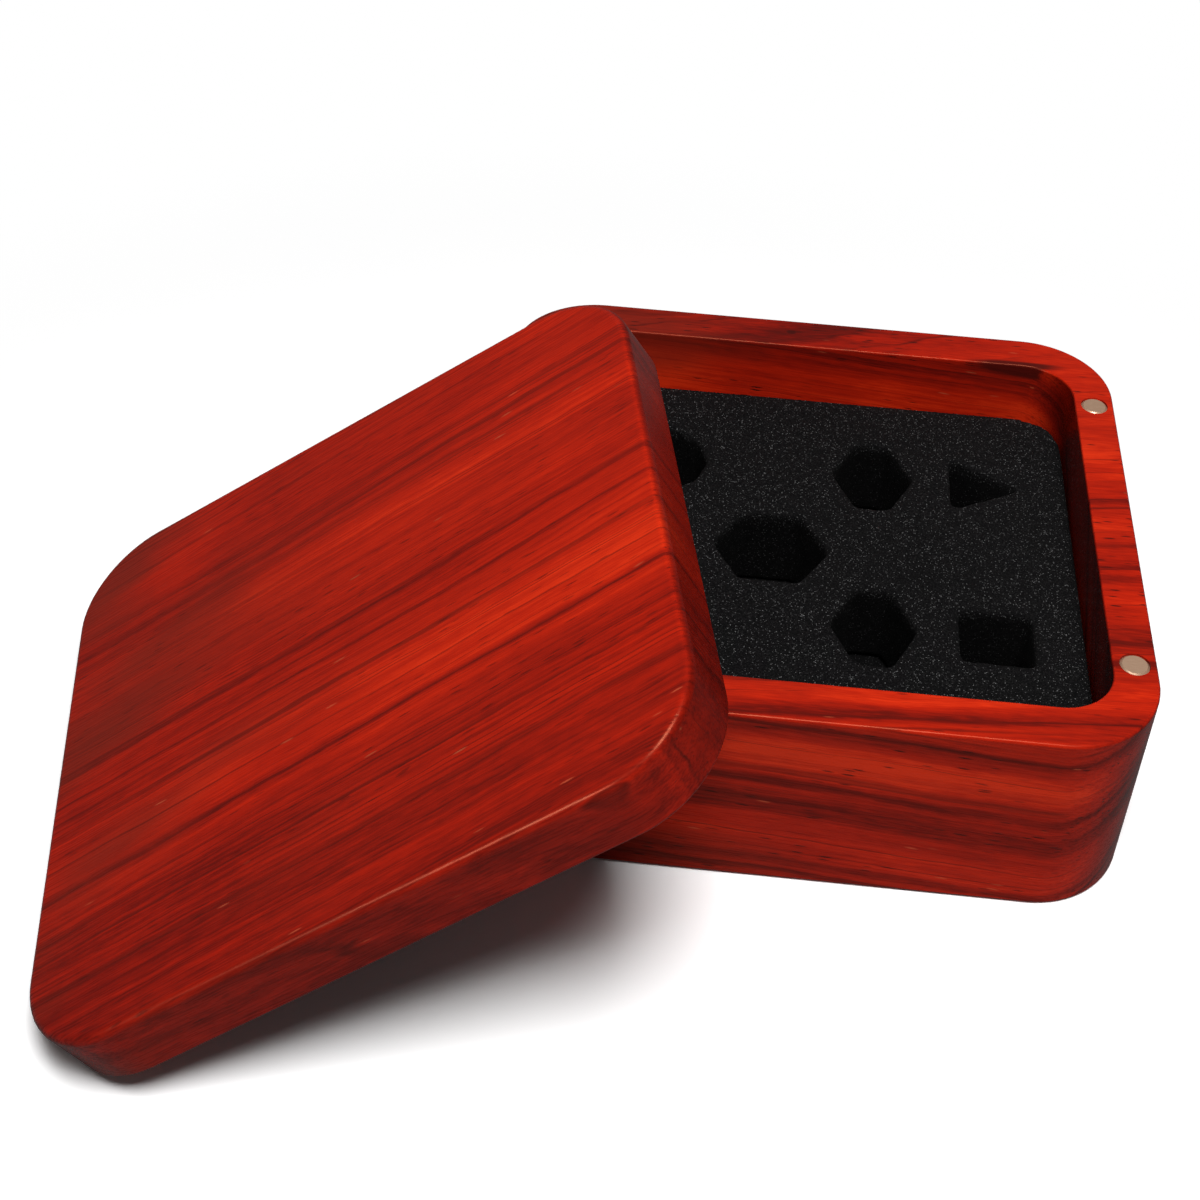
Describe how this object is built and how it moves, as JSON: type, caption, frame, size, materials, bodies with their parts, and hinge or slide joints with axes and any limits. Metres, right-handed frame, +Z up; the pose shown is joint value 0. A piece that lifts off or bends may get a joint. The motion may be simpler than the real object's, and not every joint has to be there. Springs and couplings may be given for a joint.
{
  "type": "dice storage chest",
  "caption": "Small hardwood chest with a foam insert cut for gaming dice and a loose magnetic lid that leans on the open box.",
  "frame": {"origin": "centre of the box's underside", "axes": "+Z up from the underside to the rim, +X to the right along the box's wider side, +Y to the back; the lid leans over the -X side"},
  "size_m": [0.2259, 0.1997, 0.0861],
  "materials": {
    "hardwood": "oiled red hardwood, satin",
    "foam": "matt charcoal open-cell foam",
    "magnet_plating": "nickel plated, slightly dulled"
  },
  "bodies": {
    "box": {"box_body": "hardwood", "foam_insert": "foam", "foam_floor_pad": "foam", "box_magnet_front_left": "magnet_plating", "box_magnet_front_right": "magnet_plating", "box_magnet_back_left": "magnet_plating", "box_magnet_back_right": "magnet_plating"},
    "lid": {"lid_body": "hardwood", "lid_foam_pad": "foam", "lid_magnet_front_left": "magnet_plating", "lid_magnet_front_right": "magnet_plating", "lid_magnet_back_left": "magnet_plating", "lid_magnet_back_right": "magnet_plating"}
  },
  "joints": [
    {"name": "lid_lift", "type": "slide", "parent": "box", "child": "lid", "axis": [0, 0, 1], "range_m": [0, 0.1]}
  ]
}
